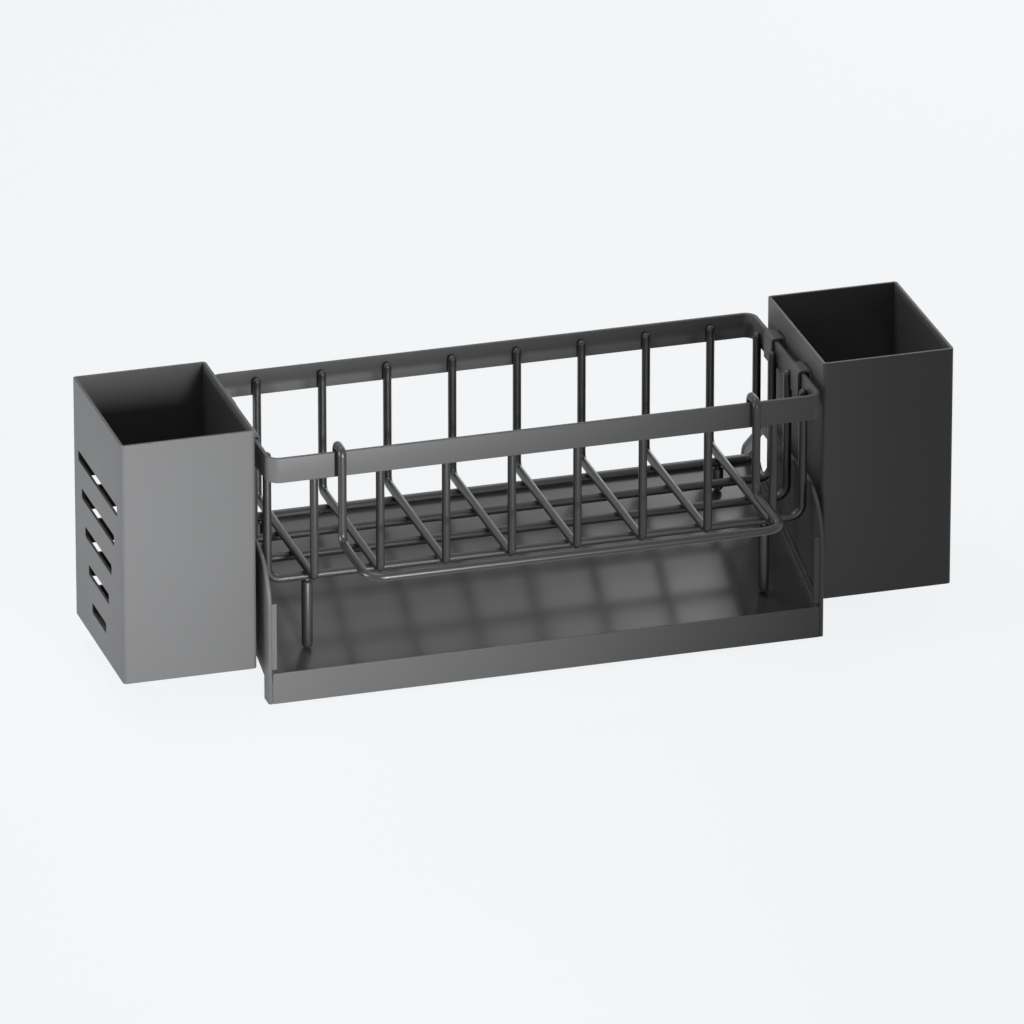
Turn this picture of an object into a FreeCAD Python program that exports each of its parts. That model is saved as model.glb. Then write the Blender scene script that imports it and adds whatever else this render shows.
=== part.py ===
"""Kitchen sink caddy: a wire basket on a sloping drip tray, with two hung boxes and a cloth rail.

Millimetres. +X runs to the right along the caddy, +Y to the back and +Z up. Heights start at the
worktop. Depths are measured back from the front of the drip tray, and each sub-part's placement
then moves the whole so that the origin lies under the middle of the caddy.
"""
import FreeCAD
import Part
import Sketcher
import math
import os

# Driving dimensions
SIZES = (
    ("wire", 4.0),                  # diameter of every wire
    ("hairline", 0.02),             # left between welded pieces, and between two arcs of one bend
    ("sheet", 1.0),                 # tray and end panel sheet
    ("apron_height", 15.3),         # front apron of the tray
    ("apron_lip", 3.3),             # apron top above the front of the floor
    ("floor_climb", 33.38),         # rise of the tray floor from the apron to its back end
    ("floor_behind", 1.0),          # floor's back end behind the basket's rim
    ("floor_seam", 0.5),            # floor corner behind the panel's front bead
    ("side_flange", 4.8),           # upstand along the floor's sides
    ("rear_bead", 4.4),             # rolled back edge of the tray
    ("panel_bead", 2.0),            # rolled edge of the end panels
    ("panel_back", 15.5),           # panel's back edge behind the floor's back end
    ("panel_front_round", 26.0),
    ("panel_slant_start", 33.0),    # start of the top's fall, ahead of the panel's back edge
    ("panel_slant_drop", 27.0),     # height lost along the fall
    ("panel_top_round", 20.0),
    ("panel_rear_round", 10.0),
    ("panel_front_leg", 8.0),
    ("panel_rear_leg", 15.0),
    ("panel_skirt", 2.6),           # panel's lower edge below the top of the floor
    ("handle_height", 21.0),        # finger hole in each end panel
    ("handle_length", 40.0),
    ("handle_rear", 23.4),          # behind the hole
    ("handle_above", 7.9),          # sheet above the hole
    ("handle_below", 1.3),          # hole above the panel's lower edge at the floor's back end
    ("tab_width", 2.4),             # upright return beside the front bead
    ("tab_depth", 1.2),
    ("tab_height", 33.0),
    ("tab_setback", 1.2),
    ("tab_lift", 1.5),              # return's foot above the apron
    ("basket_setback", 1.5),        # rim behind the front of the tray
    ("basket_clear", 1.0),          # between the basket's ends and the end panels' beads
    ("basket_height", 63.5),        # rim's top above the axis of the floor wires
    ("rim_length", 266.6),
    ("rim_depth", 105.0),
    ("rim_height", 12.2),
    ("rim_thick", 2.0),
    ("rim_round", 6.5),
    ("cross_inset", 22.77),         # outermost cross wires from the rim's ends
    ("cross_bend", 3.4),            # axis radius of a cross wire's corners
    ("cross_top", 2.8),             # cross wire ends below the rim's top
    ("long_inset", 17.1),           # outermost long wires from the rim's front and back
    ("long_bend", 6.0),
    ("long_top", 3.4),
    ("foot_width", 5.2),
    ("foot_clear", 0.3),            # foot above the tray floor
    ("rear_foot", 12.3),            # height of the short feet at the back
    ("rail_inset", 11.03),          # cloth rail's uprights from the outermost cross wires
    ("rail_drop", 43.4),            # bar below the rim's top
    ("rail_reach", 42.9),           # bar ahead of the uprights
    ("rail_corner", 9.0),
    ("rail_bend", 5.0),
    ("rail_gap", 2.7),              # between the rim's face and an upright
    ("rail_hook_bend", 0.6),        # inner radius of the hook's bends
    ("rail_grip", 10.9),            # hook's end below the rim's top
    ("rail_clear", 0.4),            # between the hook and the rim's top and back
    ("box_width", 63.8),
    ("box_depth", 85.6),
    ("box_wall", 1.4),
    ("box_bend", 0.4),              # inner radius of the folded corners
    ("box_gap", 3.3),               # between the rim and a box
    ("box_rise", 11.2),             # box top above the rim's top
    ("box_lift", 14.0),             # box bottom above the worktop
    ("slot_height", 5.2),
    ("slot_top", 36.0),             # first slot below the box's top
    ("slot_foot", 15.2),            # last slot above the box's bottom
    ("slot_margin", 8.5),           # each end of the first slot from the box's corner
    ("slot_taper", 11.0),           # each slot shorter than the one above
    ("slot_round", 1.2),
    ("rear_slot_margin", 6.0),
    ("hook_width", 11.5),
    ("hook_sheet", 1.2),
    ("hook_bend", 0.6),             # inner radius of a hook's bends
    ("hook_grip", 12.0),            # hook's flap below the rim's top
    ("hook_root", 17.0),            # hook's back leg below the rim's top
    ("hook_clear", 0.3),
    ("hook_side_clear", 0.5),
    ("hook_wire_gap", 0.65),        # between a hook and the long wire beside it
)
CROSS_WIRES = 8
LONG_WIRES = 4
SLOTS = 5
SIDES = (("left", -1), ("right", 1))
ROWS = (("front", -1), ("rear", 1))


class Dim:
    """A size: its value, and the sheet formula that it is worked out from."""

    def __init__(self, value, text=None):
        self.value = value
        self.text = text or repr(value)

    def __add__(self, other):
        return joined(self, "+", other, self.value + value_of(other))

    def __sub__(self, other):
        return joined(self, "-", other, self.value - value_of(other))

    def __mul__(self, other):
        return joined(self, "*", other, self.value * value_of(other))

    def __truediv__(self, other):
        return joined(self, "/", other, self.value / value_of(other))

    def __neg__(self):
        return Dim(-self.value, "(0 - %s)" % self.text)


ZERO = Dim(0.0)


def value_of(size):
    return size.value if isinstance(size, Dim) else size


def joined(first, sign, second, value):
    text = second.text if isinstance(second, Dim) else repr(second)
    return Dim(value, "(%s %s %s)" % (first.text, sign, text))


def root(size):
    return Dim(math.sqrt(size.value), "sqrt(%s)" % size.text)


def make_sheet(doc):
    """Writes the driving dimensions to the sheet and returns them by name."""
    sheet = doc.addObject("Spreadsheet::Sheet", "Sizes")
    sizes = {}
    for row, (name, value) in enumerate(SIZES, start=1):
        sheet.set("A%d" % row, name)
        sheet.set("B%d" % row, str(value))
        sheet.setAlias("B%d" % row, name)
        sizes[name] = Dim(value, "Sizes.%s" % name)
    doc.recompute()
    return sizes


def bind(thing, name, size):
    thing.setExpression(name, size.text)


# Sketches
def new_sketch(body, name, role, offset=None):
    """A sketch on one of the body's own origin planes, moved along the plane's normal."""
    sketch = body.newObject("Sketcher::SketchObject", name)
    plane = next(item for item in body.Origin.OriginFeatures if item.Role == role)
    sketch.AttachmentSupport = (plane, [""])
    sketch.MapMode = "FlatFace"
    if offset is not None:
        bind(sketch, "AttachmentOffset.Base.z", offset)
    return sketch


def fix_point(sketch, shape, end, across, upward):
    """Ties one point of a sketch to the sketch's origin."""
    for kind, size in (("DistanceX", across), ("DistanceY", upward)):
        rule = sketch.addConstraint(Sketcher.Constraint(kind, -1, 1, shape, end, size.value))
        bind(sketch, "Constraints[%d]" % rule, size)


def corner_arc(before, place, after, radius):
    """The ends and the arc that round the corner at a place between two others."""
    back = (before - place).normalize()
    ahead = (after - place).normalize()
    half = back.getAngle(ahead) / 2
    inward = (back + ahead).normalize()
    start = place + back * (radius / math.tan(half))
    middle = place + inward * (radius / math.sin(half) - radius)
    end = place + ahead * (radius / math.tan(half))
    return start, end, Part.Arc(start, middle, end)


def add_path(sketch, corners, closed=True):
    """Straight runs through corners, each (across, upward) or (across, upward, radius)."""
    count = len(corners)
    places = [FreeCAD.Vector(corner[0].value, corner[1].value, 0) for corner in corners]
    arrivals = list(places)
    departures = list(places)
    arcs = {}
    for index, corner in enumerate(corners):
        if len(corner) == 3:
            following = places[(index + 1) % count]
            bend = corner_arc(places[index - 1], places[index], following, corner[2].value)
            arrivals[index], departures[index], arcs[index] = bend
    runs = count if closed else count - 1
    lines = []
    for index in range(runs):
        line = Part.LineSegment(departures[index], arrivals[(index + 1) % count])
        lines.append(sketch.addGeometry(line, False))
    for index, corner in enumerate(corners):
        before = lines[index - 1] if index > 0 or closed else None
        after = lines[index] if index < runs else None
        if index in arcs:
            round_corner(sketch, corner, arcs[index], before, after)
        elif after is None:
            fix_point(sketch, before, 2, corner[0], corner[1])
        else:
            if before is not None:
                sketch.addConstraint(Sketcher.Constraint("Coincident", before, 2, after, 1))
            fix_point(sketch, after, 1, corner[0], corner[1])


def round_corner(sketch, corner, arc, before, after):
    """Joins two runs with a tangent arc and fixes the corner where they would meet."""
    bend = sketch.addGeometry(arc, False)
    arrival = sketch.getPoint(before, 2)
    start_gap = sketch.getPoint(bend, 1).distanceToPoint(arrival)
    end_gap = sketch.getPoint(bend, 2).distanceToPoint(arrival)
    near, far = (1, 2) if start_gap < end_gap else (2, 1)
    sketch.addConstraint(Sketcher.Constraint("Tangent", before, 2, bend, near))
    sketch.addConstraint(Sketcher.Constraint("Tangent", bend, far, after, 1))
    rule = sketch.addConstraint(Sketcher.Constraint("Radius", bend, corner[2].value))
    bind(sketch, "Constraints[%d]" % rule, corner[2])
    place = FreeCAD.Vector(corner[0].value, corner[1].value, 0)
    point = sketch.addGeometry(Part.Point(place), True)
    sketch.addConstraint(Sketcher.Constraint("PointOnObject", point, 1, before))
    sketch.addConstraint(Sketcher.Constraint("PointOnObject", point, 1, after))
    fix_point(sketch, point, 1, corner[0], corner[1])


def add_circle(sketch, across, upward, radius):
    centre = FreeCAD.Vector(across.value, upward.value, 0)
    ring = sketch.addGeometry(Part.Circle(centre, FreeCAD.Vector(0, 0, 1), radius.value), False)
    rule = sketch.addConstraint(Sketcher.Constraint("Radius", ring, radius.value))
    bind(sketch, "Constraints[%d]" % rule, radius)
    fix_point(sketch, ring, 3, across, upward)


def rectangle(left, right, bottom, top, radius=None):
    corners = ((left, bottom), (right, bottom), (right, top), (left, top))
    return [corner + ((radius,) if radius else ()) for corner in corners]


# Features
def new_body(doc, name, sizes, across=None, depth=ZERO):
    """A body for one sub-part, placed so that the caddy's middle is at the origin."""
    body = doc.addObject("PartDesign::Body", name)
    body.Label = name
    bind(body, "Placement.Base.y", depth - middle_depth(sizes))
    if across is not None:
        bind(body, "Placement.Base.x", across)
    return body


def add_pad(body, name, sketch, length, both_ways=False, backward=False):
    pad = body.newObject("PartDesign::Pad", name)
    pad.Profile = sketch
    pad.Midplane = both_ways
    pad.Reversed = backward
    bind(pad, "Length", length)


def add_pocket(body, name, sketch, length, backward=False):
    """A cut, checked to have taken material away."""
    body.Document.recompute()
    before = body.Shape.Volume
    pocket = body.newObject("PartDesign::Pocket", name)
    pocket.Profile = sketch
    pocket.Reversed = backward
    bind(pocket, "Length", length)
    body.Document.recompute()
    if body.Shape.Volume >= before:
        raise RuntimeError("%s cuts nothing" % name)


def add_pipe(body, name, path, section):
    """A round bar along a path sketch."""
    body.Document.recompute()
    pipe = body.newObject("PartDesign::AdditivePipe", name)
    pipe.Profile = section
    pipe.Spine = (path, ["Edge%d" % (index + 1) for index in range(len(path.Shape.Edges))])


# Levels and places that several sub-parts share
def floor_depth(sizes):
    """Depth of the tray floor's back end, which lies behind the whole basket."""
    return sizes["basket_setback"] + sizes["rim_depth"] + sizes["floor_behind"]


def floor_rise(sizes):
    """Rise of the tray floor per unit of depth."""
    return sizes["floor_climb"] / (floor_depth(sizes) - sizes["sheet"])


def floor_top(sizes, depth):
    """Height of the tray floor's upper face at a depth."""
    start = sizes["apron_height"] - sizes["apron_lip"]
    return start + (depth - sizes["sheet"]) * floor_rise(sizes)


def floor_stretch(sizes):
    """Sloping length of the floor per unit of depth."""
    return root(floor_rise(sizes) * floor_rise(sizes) + 1)


def tray_half(sizes):
    """From the caddy's middle to the outer face of an end panel, just outside the basket."""
    basket_end = sizes["rim_length"] / 2 - sizes["rim_thick"]
    return basket_end + sizes["basket_clear"] + sizes["panel_bead"]


def panel_depth(sizes):
    return floor_depth(sizes) + sizes["panel_back"]


def handle_middle(sizes):
    """Height of the finger hole's middle."""
    edge = floor_top(sizes, floor_depth(sizes)) - sizes["panel_skirt"]
    return edge + sizes["handle_below"] + sizes["handle_height"] / 2


def panel_top(sizes):
    return handle_middle(sizes) + sizes["handle_height"] / 2 + sizes["handle_above"]


def basket_middle(sizes):
    """Depth of the basket's middle."""
    return sizes["basket_setback"] + sizes["rim_depth"] / 2


def wire_inset(sizes):
    """From the rim's outer face to the axis of a wire welded inside it."""
    return sizes["rim_thick"] + sizes["wire"] / 2 + sizes["hairline"]


def cross_place(sizes, number):
    """Distance of a cross wire from the caddy's middle."""
    pitch = (sizes["rim_length"] - sizes["cross_inset"] * 2) / (CROSS_WIRES - 1)
    return pitch * (number - (CROSS_WIRES - 1) / 2)


def long_offset(sizes, number):
    """Distance of a long wire from the basket's middle."""
    pitch = (sizes["rim_depth"] - sizes["long_inset"] * 2) / (LONG_WIRES - 1)
    return pitch * (number - (LONG_WIRES - 1) / 2)


def foot_centre(sizes, depth):
    """Height of the middle of a foot's round end, which clears the sloping floor."""
    radius = sizes["foot_width"] / 2
    return floor_top(sizes, depth) + (radius + sizes["foot_clear"]) * floor_stretch(sizes)


def foot_top(sizes):
    """Height of all the feet's tops, set by the short feet at the back."""
    depth = basket_middle(sizes) + long_offset(sizes, LONG_WIRES - 1)
    return foot_centre(sizes, depth) - sizes["foot_width"] / 2 + sizes["rear_foot"]


def long_level(sizes):
    """Axis of the long wires, which lie on the feet."""
    return foot_top(sizes) + sizes["hairline"] + sizes["wire"] / 2


def cross_level(sizes):
    """Axis of the cross wires' floor run, on top of the long wires."""
    return long_level(sizes) + sizes["wire"] + sizes["hairline"]


def rim_top(sizes):
    return cross_level(sizes) + sizes["basket_height"]


def rail_upright(sizes):
    """Axis of the cloth rail's uprights, from the rim's front face."""
    return -(sizes["rail_gap"] + sizes["wire"] / 2)


def rail_bar(sizes):
    """Axis of the cloth rail's bar, from the rim's front face."""
    return rail_upright(sizes) - sizes["rail_reach"]


def box_inner(sizes):
    """From the caddy's middle to the near wall of a box."""
    return sizes["rim_length"] / 2 + sizes["box_gap"]


def middle_depth(sizes):
    """Depth of the caddy's middle, between the front bar and the back of the end panels."""
    bar_front = sizes["basket_setback"] + rail_bar(sizes) - sizes["wire"] / 2
    return (bar_front + panel_depth(sizes)) / 2


# Drip tray
def floor_strip(sizes, front, above):
    """Outline of the floor from a depth to its back end, with an upstand above it."""
    rear = floor_depth(sizes)
    thick = sizes["sheet"] * floor_stretch(sizes)
    return [
        (front, floor_top(sizes, front) - thick),
        (rear, floor_top(sizes, rear) - thick),
        (rear, floor_top(sizes, rear) + above),
        (front, floor_top(sizes, front) + above),
    ]


def make_drip_tray(doc, sizes):
    """Folded sheet: front apron, sloping floor, side flanges and a rolled back edge."""
    body = new_body(doc, "drip_tray", sizes)
    sheet = sizes["sheet"]
    between_beads = tray_half(sizes) - sizes["panel_bead"] - sizes["hairline"]
    between_panels = tray_half(sizes) - sheet - sizes["hairline"]
    profile = new_sketch(body, "ApronAndFloor", "YZ_Plane")
    apron = [(sheet, sizes["apron_height"]), (ZERO, sizes["apron_height"]), (ZERO, ZERO), (sheet, ZERO)]
    add_path(profile, floor_strip(sizes, sheet, ZERO) + apron)
    add_pad(body, "Folded", profile, between_beads * 2, both_ways=True)
    front = sizes["panel_bead"] + sizes["floor_seam"]
    edge = new_sketch(body, "FloorSides", "YZ_Plane")
    add_path(edge, floor_strip(sizes, front, ZERO))
    add_pad(body, "WideFloor", edge, between_panels * 2, both_ways=True)
    for side, sign in SIDES:
        flange = new_sketch(body, side.title() + "FlangeOutline", "YZ_Plane", (between_panels - sheet) * sign)
        add_path(flange, floor_strip(sizes, front, sizes["side_flange"]))
        add_pad(body, side.title() + "Flange", flange, sheet, backward=sign < 0)
    roll = sizes["rear_bead"] / 2
    rear = floor_depth(sizes)
    bead = new_sketch(body, "RearBeadOutline", "YZ_Plane")
    add_circle(bead, rear, floor_top(sizes, rear) + roll - sheet, roll)
    add_pad(body, "RearBead", bead, between_panels * 2, both_ways=True)
    return body


# End panels
def panel_edge(sizes):
    """Axis of the rolled edge, from the front leg over the top to the back leg."""
    roll = sizes["panel_bead"] / 2
    top = panel_top(sizes) - roll
    rear = panel_depth(sizes) - roll
    return [
        (roll, ZERO),
        (roll, top, sizes["panel_front_round"] - roll),
        (panel_depth(sizes) - sizes["panel_slant_start"], top, sizes["panel_top_round"]),
        (rear, panel_top(sizes) - sizes["panel_slant_drop"], sizes["panel_rear_round"]),
        (rear, ZERO),
    ]


def panel_underside(sizes):
    """Lower edge of the sheet, from the back leg under the floor to the front leg."""
    front = sizes["panel_front_leg"]
    rear = panel_depth(sizes) - sizes["panel_rear_leg"]
    return [
        (rear, ZERO),
        (rear, floor_top(sizes, rear) - sizes["panel_skirt"]),
        (front, floor_top(sizes, front) - sizes["panel_skirt"]),
        (front, ZERO),
    ]


def make_end_panel(doc, sizes, side, sign):
    """Arched end panel with a rolled edge, a finger hole and an upright front return."""
    body = new_body(doc, side + "_end_panel", sizes)
    sheet = sizes["sheet"]
    outer = tray_half(sizes)
    roll = sizes["panel_bead"] / 2
    face = new_sketch(body, "PanelOutline", "YZ_Plane", (outer - sheet) * sign)
    add_path(face, panel_edge(sizes) + panel_underside(sizes))
    add_pad(body, "Panel", face, sheet, backward=sign < 0)
    hole = new_sketch(body, "FingerHoleOutline", "YZ_Plane", (outer - sheet) * sign)
    rear = panel_depth(sizes) - sizes["handle_rear"]
    half = sizes["handle_height"] / 2
    middle = handle_middle(sizes)
    ends = half - sizes["hairline"]
    add_path(hole, rectangle(rear - sizes["handle_length"], rear, middle - half, middle + half, ends))
    add_pocket(body, "FingerHole", hole, sheet, backward=sign > 0)
    path = new_sketch(body, "RolledEdgePath", "YZ_Plane", (outer - roll) * sign)
    add_path(path, panel_edge(sizes), closed=False)
    section = new_sketch(body, "RolledEdgeSection", "XY_Plane")
    add_circle(section, (outer - roll) * sign, roll, roll)
    add_pipe(body, "RolledEdge", path, section)
    foot = new_sketch(body, "ReturnOutline", "XY_Plane", sizes["apron_height"] + sizes["tab_lift"])
    near = (outer - sizes["panel_bead"] - sizes["tab_width"]) * sign
    far = (outer - roll) * sign
    setback = sizes["tab_setback"]
    add_path(foot, rectangle(near, far, setback, setback + sizes["tab_depth"]))
    add_pad(body, "Return", foot, sizes["tab_height"])
    return body


# Basket
def make_rim(doc, sizes):
    """Flat band bent into a ring with round corners."""
    body = new_body(doc, "rim_band", sizes, depth=basket_middle(sizes))
    outline = new_sketch(body, "RimOutline", "XY_Plane", rim_top(sizes) - sizes["rim_height"])
    for inset in (ZERO, sizes["rim_thick"]):
        length = sizes["rim_length"] / 2 - inset
        depth = sizes["rim_depth"] / 2 - inset
        add_path(outline, rectangle(-length, length, -depth, depth, sizes["rim_round"] - inset))
    add_pad(body, "Band", outline, sizes["rim_height"])
    return body


def bent_wire_corners(half, level, top, bend):
    """A U of wire: an upright at each end of a level run."""
    return [(-half, top), (-half, level, bend), (half, level, bend), (half, top)]


def make_cross_wire(doc, sizes, number):
    name = "cross_wire_%d" % (number + 1)
    body = new_body(doc, name, sizes, cross_place(sizes, number), basket_middle(sizes))
    half = sizes["rim_depth"] / 2 - wire_inset(sizes)
    top = rim_top(sizes) - sizes["cross_top"]
    path = new_sketch(body, "WirePath", "YZ_Plane")
    corners = bent_wire_corners(half, cross_level(sizes), top, sizes["cross_bend"])
    add_path(path, corners, closed=False)
    section = new_sketch(body, "WireSection", "XY_Plane", top)
    add_circle(section, ZERO, -half, sizes["wire"] / 2)
    add_pipe(body, "Wire", path, section)
    return body


def make_long_wire(doc, sizes, number):
    depth = basket_middle(sizes) + long_offset(sizes, number)
    body = new_body(doc, "long_wire_%d" % (number + 1), sizes, depth=depth)
    half = sizes["rim_length"] / 2 - wire_inset(sizes)
    top = rim_top(sizes) - sizes["long_top"]
    path = new_sketch(body, "WirePath", "XZ_Plane")
    corners = bent_wire_corners(half, long_level(sizes), top, sizes["long_bend"])
    add_path(path, corners, closed=False)
    section = new_sketch(body, "WireSection", "XY_Plane", top)
    add_circle(section, -half, ZERO, sizes["wire"] / 2)
    add_pipe(body, "Wire", path, section)
    return body


def make_foot(doc, sizes, name, cross_number, long_number):
    """A round-ended peg under a crossing of wires, standing on the tray floor."""
    depth = basket_middle(sizes) + long_offset(sizes, long_number)
    body = new_body(doc, name, sizes, cross_place(sizes, cross_number), depth)
    radius = sizes["foot_width"] / 2
    bottom = foot_centre(sizes, depth) - radius
    outline = new_sketch(body, "FootOutline", "XZ_Plane")
    add_path(outline, [
        (ZERO, bottom),
        (radius, bottom, radius - sizes["hairline"]),
        (radius, foot_top(sizes)),
        (ZERO, foot_top(sizes)),
    ])
    turn = body.newObject("PartDesign::Revolution", "Peg")
    turn.Profile = outline
    turn.ReferenceAxis = (outline, ["V_Axis"])
    turn.Angle = 360
    return body


# Cloth rail
def make_cloth_rail(doc, sizes):
    """One bent wire: a hook over the rim at each end, two arms and a front bar."""
    body = new_body(doc, "cloth_rail", sizes, depth=sizes["basket_setback"])
    radius = sizes["wire"] / 2
    upright = rail_upright(sizes)
    tail = sizes["rim_thick"] + sizes["rail_clear"] + radius
    crown = rim_top(sizes) + sizes["rail_clear"] + radius
    hook_bend = sizes["rail_hook_bend"] + radius
    level = rim_top(sizes) - sizes["rail_drop"]
    half = cross_place(sizes, CROSS_WIRES - 1) - sizes["rail_inset"]
    join = upright - sizes["rail_bend"] * 2
    bar = rail_bar(sizes)
    corner = sizes["rail_corner"]
    bar_path = new_sketch(body, "BarPath", "XY_Plane", level)
    add_path(bar_path, [(-half, join), (-half, bar, corner), (half, bar, corner), (half, join)], closed=False)
    bar_section = new_sketch(body, "BarSection", "XZ_Plane", -join)
    add_circle(bar_section, -half, level, radius)
    add_pipe(body, "Bar", bar_path, bar_section)
    for side, sign in SIDES:
        path = new_sketch(body, side.title() + "HookPath", "YZ_Plane", half * sign)
        add_path(path, [
            (join, level),
            (upright, level, sizes["rail_bend"]),
            (upright, crown, hook_bend),
            (tail, crown, hook_bend),
            (tail, rim_top(sizes) - sizes["rail_grip"]),
        ], closed=False)
        section = new_sketch(body, side.title() + "HookSection", "XZ_Plane", -join)
        add_circle(section, half * sign, level, radius)
        add_pipe(body, side.title() + "Hook", path, section)
    return body


# Boxes
def make_box(doc, sizes, side, sign):
    """Open-topped sheet box with drain slots in its outer side and, below the first, its back."""
    across = (box_inner(sizes) + sizes["box_width"] / 2) * sign
    body = new_body(doc, side + "_box", sizes, across, basket_middle(sizes))
    top = rim_top(sizes) + sizes["box_rise"]
    bottom = sizes["box_lift"]
    height = top - bottom
    width = sizes["box_width"] / 2
    depth = sizes["box_depth"] / 2
    wall = sizes["box_wall"]
    bend = sizes["box_bend"]
    outline = new_sketch(body, "BoxOutline", "XY_Plane", bottom)
    add_path(outline, rectangle(-width, width, -depth, depth, bend + wall))
    add_pad(body, "Shell", outline, height)
    inside = new_sketch(body, "InsideOutline", "XY_Plane", bottom + wall)
    add_path(inside, rectangle(wall - width, width - wall, wall - depth, depth - wall, bend))
    add_pocket(body, "Inside", inside, height, backward=True)
    half = sizes["slot_height"] / 2
    side_slots = new_sketch(body, "SideSlots", "YZ_Plane", (width - wall) * sign)
    rear_slots = new_sketch(body, "RearSlots", "XZ_Plane", wall - depth)
    rear = width - sizes["rear_slot_margin"]
    pitch = (height - sizes["slot_top"] - sizes["slot_foot"]) / (SLOTS - 1)
    for number in range(SLOTS):
        level = top - sizes["slot_top"] - pitch * number
        reach = depth - sizes["slot_margin"] - sizes["slot_taper"] / 2 * number
        add_path(side_slots, rectangle(-reach, reach, level - half, level + half, sizes["slot_round"]))
        if number > 0:
            add_path(rear_slots, rectangle(-rear, rear, level - half, level + half, sizes["slot_round"]))
    add_pocket(body, "SideSlotCuts", side_slots, wall, backward=sign > 0)
    add_pocket(body, "RearSlotCuts", rear_slots, wall)
    return body


def make_box_hook(doc, sizes, side, sign, place, row):
    """Bent strip that hangs a box on the rim: welded leg, bridge and flap behind the band."""
    beside_wire = long_offset(sizes, LONG_WIRES // 2) + sizes["wire"] / 2 + sizes["hook_wire_gap"]
    depth = basket_middle(sizes) + (beside_wire + sizes["hook_width"] / 2) * row
    body = new_body(doc, "%s_box_hook_%s" % (side, place), sizes, depth=depth)
    strip = sizes["hook_sheet"]
    inner_bend = sizes["hook_bend"]
    outer_bend = inner_bend + strip
    wall = box_inner(sizes) - sizes["hairline"]
    flap = sizes["rim_length"] / 2 - sizes["rim_thick"] - sizes["hook_side_clear"]
    under = rim_top(sizes) + sizes["hook_clear"]
    leg_end = rim_top(sizes) - sizes["hook_root"]
    flap_end = rim_top(sizes) - sizes["hook_grip"]
    outline = new_sketch(body, "HookOutline", "XZ_Plane")
    add_path(outline, [
        (wall * sign, leg_end),
        (wall * sign, under + strip, outer_bend),
        ((flap - strip) * sign, under + strip, outer_bend),
        ((flap - strip) * sign, flap_end),
        (flap * sign, flap_end),
        (flap * sign, under, inner_bend),
        ((wall - strip) * sign, under, inner_bend),
        ((wall - strip) * sign, leg_end),
    ])
    add_pad(body, "Strip", outline, sizes["hook_width"], both_ways=True)
    return body


def make_parts(doc, sizes):
    parts = [make_drip_tray(doc, sizes), make_rim(doc, sizes), make_cloth_rail(doc, sizes)]
    for number in range(CROSS_WIRES):
        parts.append(make_cross_wire(doc, sizes, number))
    for number in range(LONG_WIRES):
        parts.append(make_long_wire(doc, sizes, number))
    for side, sign in SIDES:
        parts.append(make_end_panel(doc, sizes, side, sign))
        parts.append(make_box(doc, sizes, side, sign))
        for place, row in ROWS:
            parts.append(make_box_hook(doc, sizes, side, sign, place, row))
            cross_number = 0 if sign < 0 else CROSS_WIRES - 1
            long_number = 0 if row < 0 else LONG_WIRES - 1
            parts.append(make_foot(doc, sizes, "%s_foot_%s" % (side, place), cross_number, long_number))
    return parts


def check(doc, parts):
    """Stops if any object failed or any sub-part isn't one valid solid."""
    for item in doc.Objects:
        if {"Invalid", "Error"} & set(item.State):
            raise RuntimeError("%s failed: %s" % (item.Label, item.State))
    for part in parts:
        shape = part.Shape
        if shape.isNull() or not shape.isValid() or len(shape.Solids) != 1:
            raise RuntimeError("%s is not one valid solid" % part.Label)


def main():
    doc = FreeCAD.newDocument("SinkCaddy")
    sizes = make_sheet(doc)
    parts = make_parts(doc, sizes)
    doc.recompute()
    check(doc, parts)
    os.makedirs("parts", exist_ok=True)
    for part in parts:
        part.Shape.exportStep("parts/%s.step" % part.Label)
        box = part.Shape.BoundBox
        print("%-24s %9.1f mm3  from %s to %s" % (
            part.Label, part.Shape.Volume,
            [round(box.XMin, 1), round(box.YMin, 1), round(box.ZMin, 1)],
            [round(box.XMax, 1), round(box.YMax, 1), round(box.ZMax, 1)]))


main()
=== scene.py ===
"""Looks of a kitchen sink caddy: wire basket, sloping drip tray, two hung boxes and a cloth rail.

Metres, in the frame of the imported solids: +X to the right along the caddy, +Y to the back, +Z up.
"""
from __future__ import annotations

import logging
import math
from dataclasses import dataclass, field
from enum import Enum
from typing import Any, Iterable, Sequence

import bmesh
import bpy
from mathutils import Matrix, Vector

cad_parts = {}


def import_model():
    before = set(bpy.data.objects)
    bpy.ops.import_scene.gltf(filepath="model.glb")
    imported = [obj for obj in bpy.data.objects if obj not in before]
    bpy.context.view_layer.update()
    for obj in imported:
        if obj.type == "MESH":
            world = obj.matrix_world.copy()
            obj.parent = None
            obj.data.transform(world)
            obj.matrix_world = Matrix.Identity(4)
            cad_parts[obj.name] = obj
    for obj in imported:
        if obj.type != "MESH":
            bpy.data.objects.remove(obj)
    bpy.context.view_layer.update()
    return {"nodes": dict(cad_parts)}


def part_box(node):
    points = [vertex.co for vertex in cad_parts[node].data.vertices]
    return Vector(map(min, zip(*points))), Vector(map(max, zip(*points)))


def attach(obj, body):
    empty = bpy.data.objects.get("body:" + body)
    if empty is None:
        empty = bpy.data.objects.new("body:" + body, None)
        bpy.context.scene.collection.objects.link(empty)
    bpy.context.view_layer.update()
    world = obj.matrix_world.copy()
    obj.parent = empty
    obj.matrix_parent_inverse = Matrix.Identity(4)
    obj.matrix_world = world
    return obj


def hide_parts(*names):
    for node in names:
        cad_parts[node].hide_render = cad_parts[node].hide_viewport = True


LOG = logging.getLogger("sink_caddy")
BEND = "bend"                    # path attribute: radius of the bend at a corner
GIRTH = "girth"                  # path attribute: share of the full wire radius
SAME_PLACE = 1e-6                # points nearer than this are one point
WIRE_SIDES = 24                  # faces around a wire
CORNER_STEPS = 14                # straight steps in a corner of a bent strip
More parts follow.
